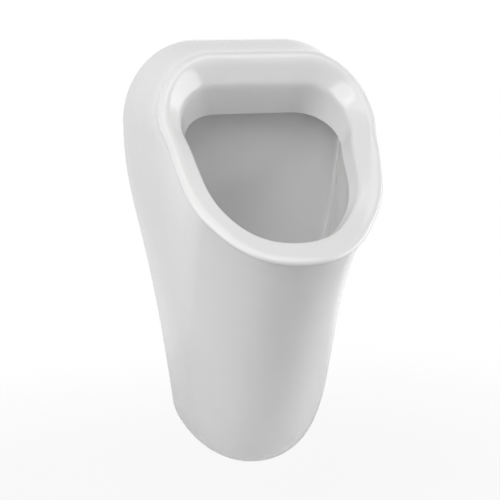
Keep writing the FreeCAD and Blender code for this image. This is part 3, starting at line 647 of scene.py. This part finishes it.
# %% Make the glaze
glaze, nodes, links, shader = new_finish("white_glaze")
glaze_whites = ((0.800, 0.803, 0.800), (0.822, 0.824, 0.820))
glaze_map = add_clouds(nodes, links, shader, glaze_whites, (0.13, 0.18), 9.0)
add_grain(nodes, links, shader, glaze_map, 34.0, 0.05, 0.0008)
shader.inputs["IOR"].default_value = 1.52
shader.inputs["Coat Weight"].default_value = 0.25
shader.inputs["Coat Roughness"].default_value = 0.06
print("glaze whites:", glaze_whites)

# %% [markdown]
# ## A recipe for metals
# The strainer and the water nozzle are chromed, the outlet flange is stainless steel, the inlet spud
# and its nut are brass and the brackets are galvanised. Each could have its own set of nodes, but they
# differ only in numbers, so they share one recipe: fully metallic, with the noise stretched into fine
# lines where the metal was brushed or drawn. The stretch is large along the axis that the lines run
# across.

# %% Metal recipe
even_stretch = (1, 1, 1)


def make_metal(name, colours, roughness, cloud_scale, stretch, strength):
    finish, nodes, links, shader = new_finish(name)
    shader.inputs["Metallic"].default_value = 1.0
    mapping = add_clouds(nodes, links, shader, colours, roughness, cloud_scale, stretch)
    add_grain(nodes, links, shader, mapping, cloud_scale * 6, strength, fine_grain)
    return finish


print("grain of a metal is six times finer than its clouds")

# %% [markdown]
# ## A recipe for plastics and rubber
# Moulded plastic has a satin skin with a very fine orange peel, and rubber has the same skin, only
# duller. The peel could be modelled, but at a fifth of a millimetre a bump is enough and keeps the
# meshes light. The recipe has no sheen, because nothing here is soft to the touch.

# %% Moulded recipe
plastic_clouds = 40.0


def make_moulded(name, colours, roughness, peel_scale, strength):
    finish, nodes, links, shader = new_finish(name)
    shader.inputs["IOR"].default_value = 1.49
    mapping = add_clouds(nodes, links, shader, colours, roughness, plastic_clouds)
    add_grain(nodes, links, shader, mapping, peel_scale, strength, fine_grain)
    return finish


print("clouds on plastic are", round(1000 / plastic_clouds), "mm across")

# %% [markdown]
# ## Dressing a piece
# The fittings could be modelled again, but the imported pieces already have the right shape, so each
# only changes its material. The next steps follow the object from the wall outwards and then down
# the drain.

# %% Change a material
dressed = []


def dress(finish, *names):
    for name in names:
        piece = frame["nodes"][name]
        if not piece.material_slots:
            piece.data.materials.append(finish)
        for material_slot in piece.material_slots:
            material_slot.material = finish
        dressed.append(name)
    print(finish.name, "on", len(names), "pieces")


print("pieces to dress:", len(frame["nodes"]))

# %% [markdown]
# ## Wall brackets
# The ceramic hooks over two steel angles that are screwed to the wall. They are galvanised in a bath
# of zinc, which leaves a dull, cloudy grey. A pattern of spangles would suit a ventilation duct, but
# small dipped parts show only clouds, so the noise is enough. Dark nylon pads keep the steel off the
# ceramic, so that it doesn't crack.

# %% Zinc and nylon
zinc = make_metal("galvanised_steel", ((0.44, 0.46, 0.48), (0.60, 0.62, 0.64)),
                  (0.35, 0.52), 120.0, even_stretch, 0.2)
nylon = make_moulded("dark_nylon", ((0.04, 0.04, 0.045), (0.07, 0.07, 0.075)),
                     (0.45, 0.60), 500.0, 0.2)
dress(zinc, "hanger_bracket_left", "hanger_bracket_right")
dress(nylon, "bracket_pads")

# %% [markdown]
# ## Water inlet
# A threaded spud comes through the bowl's back wall, held by a nut behind it. Both are turned from
# drawn brass, so their fine lines run along the spud. A plain yellow would look painted: brass gets
# its warmth from a metallic shader with a dull gold colour. The washer and the seal are black rubber.

# %% Brass and rubber
drawn_lengthwise = (9, 1, 9)
brass = make_metal("drawn_brass", ((0.60, 0.43, 0.19), (0.70, 0.52, 0.26)),
                   (0.22, 0.34), 80.0, drawn_lengthwise, 0.15)
rubber = make_moulded("black_rubber", ((0.015, 0.015, 0.016), (0.035, 0.035, 0.037)),
                      (0.60, 0.80), 900.0, 0.25)
dress(brass, "inlet_spud", "inlet_nut")
dress(rubber, "inlet_washer", "nozzle_seal")

# %% [markdown]
# ## Nozzle and strainer
# The two fittings that a user sees are chromed. Chrome is nearly a perfect mirror, and what makes it
# look real is what it reflects. It could be given a roughness of zero, but use and cleaning leave it
# with a faint haze, so it keeps a little.

# %% Chrome
chrome = make_metal("bright_chrome", ((0.62, 0.63, 0.65), (0.70, 0.71, 0.73)),
                    (0.06, 0.12), 60.0, even_stretch, 0.05)
dress(chrome, "spreader_nozzle", "outlet_strainer")

# %% [markdown]
# ## Drain flange
# A stainless flange lies on the seat in the bowl's floor, sealed with rubber above and below and
# clamped by a plastic nut. It is brushed on a lathe, so its lines run round it. An anisotropic shader
# is the usual way to show that, but it is too strong for such a small ring, and stretched noise shows
# the same lines.

# %% Stainless steel and white plastic
brushed_round = (1, 1, 9)
stainless = make_metal("brushed_stainless", ((0.50, 0.50, 0.49), (0.60, 0.60, 0.59)),
                       (0.24, 0.36), 90.0, brushed_round, 0.15)
white_plastic = make_moulded("white_polypropylene", ((0.72, 0.72, 0.70), (0.78, 0.78, 0.76)),
                             (0.28, 0.38), 700.0, 0.12)
dress(stainless, "drain_flange")
dress(rubber, "drain_upper_seal", "drain_lower_seal")
dress(white_plastic, "drain_backnut")

# %% [markdown]
# ## Trap and waste pipe
# Below the floor hangs a bottle trap of white polypropylene with a cup that unscrews. The insert that
# lifts out of the drain and the pipe to the wall are grey, as such pipes are. Polypropylene lets a
# little light through, and subsurface scattering could show that. But the trap hangs in the dark hollow
# behind the ceramic, where nobody would see it, so the plain recipe is enough.

# %% Grey and white plastic
grey_plastic = make_moulded("grey_pipe", ((0.27, 0.29, 0.30), (0.33, 0.35, 0.36)),
                            (0.32, 0.45), 600.0, 0.12)
dress(grey_plastic, "dip_tube", "outlet_pipe")
dress(white_plastic, "trap_body", "trap_union_nut", "trap_cup", "outlet_nut")
dress(rubber, "dip_tube_ring", "trap_union_seal", "trap_cup_seal", "outlet_seal")
print("dressed", len(dressed), "of", len(frame["nodes"]), "pieces; the ceramic comes next")

# %% [markdown]
# ## Put the ceramic in its place
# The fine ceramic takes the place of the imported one, which stays hidden as the shape that things
# bump into. Its faces are shaded smoothly, because a glaze has no facets, and only real edges, such as
# those of the slots, stay sharp.

# %% Dress the ceramic
ceramic.data.materials.clear()
ceramic.data.materials.append(glaze)
for face in ceramic.data.polygons:
    face.use_smooth = True
    face.material_index = 0
sharp_from = 38
ceramic.data.set_sharp_from_angle(angle=math.radians(sharp_from))
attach(ceramic, "urinal")
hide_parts("ceramic_body")
print("edges stay sharp from", sharp_from, "degrees")

# %% [markdown]
# ## The floor
# A pale floor lies where a washroom floor would, about 61 centimetres below the lip. A backdrop that
# curves up is the usual studio trick, but the wall plane is open here so that the back can be seen. So
# the floor is a disc that fades out with distance, and no horizon crosses the picture. To the camera
# it is mostly plain white, and the rest is the lit floor, which keeps the soft shadow under the object.

# %% Lay the floor
floor_height = -0.73
floor_reach = 1.6
floor_rim = [(floor_reach * math.cos(math.radians(a)), floor_reach * math.sin(math.radians(a)),
              floor_height) for a in range(0, 360, 5)]
floor_mesh = bpy.data.meshes.new("studio_floor")
floor_mesh.from_pydata(floor_rim, [], [list(range(len(floor_rim)))])
floor = bpy.data.objects.new("studio_floor", floor_mesh)
bpy.context.scene.collection.objects.link(floor)
print("floor at", floor_height, "metres")

# %% A lit floor that looks white
floor_finish, nodes, links, shader = new_finish("pale_floor")
shader.inputs["Base Color"].default_value = (0.95, 0.95, 0.95, 1.0)
shader.inputs["Roughness"].default_value = 0.9
white_part = 0.86
white_glow = nodes.new("ShaderNodeEmission")
white_glow.inputs["Color"].default_value = (1.0, 1.0, 1.0, 1.0)
white_glow.inputs["Strength"].default_value = 1.0
seen = nodes.new("ShaderNodeLightPath")
glow_share = nodes.new("ShaderNodeMath")
glow_share.operation = "MULTIPLY"
glow_share.inputs[1].default_value = white_part
lit_floor = nodes.new("ShaderNodeMixShader")
links.new(seen.outputs["Is Camera Ray"], glow_share.inputs[0])
links.new(glow_share.outputs["Value"], lit_floor.inputs["Fac"])
links.new(shader.outputs["BSDF"], lit_floor.inputs[1])
links.new(white_glow.outputs["Emission"], lit_floor.inputs[2])
print("the camera sees", round(100 * white_part), "percent white and the rest of the lit floor")

# %% Fade it out with distance
fade_starts, fade_ends = 0.85, 1.5
place = nodes.new("ShaderNodeTexCoord")
away = nodes.new("ShaderNodeVectorMath")
away.operation = "LENGTH"
falloff = nodes.new("ShaderNodeMapRange")
falloff.interpolation_type = "SMOOTHSTEP"
falloff.inputs["From Min"].default_value = fade_starts
falloff.inputs["From Max"].default_value = fade_ends
clear = nodes.new("ShaderNodeBsdfTransparent")
fade = nodes.new("ShaderNodeMixShader")
output = next(n for n in nodes if n.type == "OUTPUT_MATERIAL")
links.new(place.outputs["Object"], away.inputs[0])
links.new(away.outputs["Value"], falloff.inputs["Value"])
links.new(falloff.outputs["Result"], fade.inputs["Fac"])
links.new(lit_floor.outputs["Shader"], fade.inputs[1])
links.new(clear.outputs["BSDF"], fade.inputs[2])
links.new(fade.outputs["Shader"], output.inputs["Surface"])
floor_mesh.materials.append(floor_finish)
print("the floor fades out from", fade_starts, "to", fade_ends, "metres")

# %% [markdown]
# ## Lamps
# Glossy white ware is drawn by soft, one-sided light. The strongest soft box stands on the right: it
# brightens the right edge and the left side of the funnel, and its reflection is the bright patch in
# the rim's top left corner. Two weaker ones on the left light the front and the flank, one high in front
# lights the rim, and a faint one overhead the top. Their powers could be tried by eye, but they were
# worked out from the tones in the photograph, with one render for each box. Then the box on the right
# was turned down a little, because the right side had come close to clipping. A low box behind the
# object is there for whoever looks at the back, and is kept out of reflections so the flanks stay calm.

# %% Hang the lamps
aim = Vector((0.0, -0.17, -0.18))
# Each row: name, place, width and height in metres, power in watts.
soft_boxes = [
    ("box_right", (1.48, -0.71, 0.10), 1.6, 1.4, 20.5),
    ("box_left", (-1.27, -0.99, 0.34), 1.1, 1.1, 10.5),
    ("box_side", (-1.54, -0.04, 0.23), 1.0, 1.0, 4.0),
    ("box_front", (-0.66, -0.96, 1.05), 1.3, 1.0, 6.8),
    ("box_top", (0.13, -0.65, 1.34), 1.0, 1.0, 4.6),
    ("box_back", (0.0, 1.3, -0.62), 1.2, 0.5, 7.0)]
for name, place, box_width, box_height, watts in soft_boxes:
    data = bpy.data.lights.new(name, "AREA")
    data.shape = "RECTANGLE"
    data.size = box_width
    data.size_y = box_height
    data.energy = watts
    lamp = bpy.data.objects.new(name, data)
    lamp.location = place
    lamp.rotation_euler = (aim - Vector(place)).to_track_quat("-Z", "Y").to_euler()
    lamp.visible_glossy = name != "box_back"
    bpy.context.scene.collection.objects.link(lamp)
    print(name, watts, "watts")

# %% [markdown]
# ## The surroundings
# The white studio is a world that shows pure white to the camera and in reflections. If it also lit
# the object that brightly, white ware would lose its shading, so its light on the object is faint.
# The kind of ray decides which of the two strengths counts.

# %% Light and white
def world_light(strength):
    light = nodes.new("ShaderNodeBackground")
    light.inputs["Color"].default_value = (1.0, 1.0, 1.0, 1.0)
    light.inputs["Strength"].default_value = strength
    return light


world = bpy.data.worlds.new("white_studio")
bpy.context.scene.world = world
world.use_nodes = True
nodes = world.node_tree.nodes
links = world.node_tree.links
nodes.clear()
even_light = world_light(0.07)
white_light = world_light(1.0)
print("world made")

# %% Choose by the kind of ray
rays = nodes.new("ShaderNodeLightPath")
camera_or_glossy = nodes.new("ShaderNodeMath")
camera_or_glossy.operation = "MAXIMUM"
seen_rays = nodes.new("ShaderNodeMath")
seen_rays.operation = "MAXIMUM"
mix_light = nodes.new("ShaderNodeMixShader")
output = nodes.new("ShaderNodeOutputWorld")
links.new(rays.outputs["Is Camera Ray"], camera_or_glossy.inputs[0])
links.new(rays.outputs["Is Glossy Ray"], camera_or_glossy.inputs[1])
links.new(camera_or_glossy.outputs["Value"], seen_rays.inputs[0])
links.new(rays.outputs["Is Transmission Ray"], seen_rays.inputs[1])
links.new(seen_rays.outputs["Value"], mix_light.inputs["Fac"])
links.new(even_light.outputs["Background"], mix_light.inputs[1])
links.new(white_light.outputs["Background"], mix_light.inputs[2])
links.new(mix_light.outputs["Shader"], output.inputs["Surface"])
bpy.context.scene.view_settings.view_transform = "Standard"
print("colours are shown as", bpy.context.scene.view_settings.view_transform)
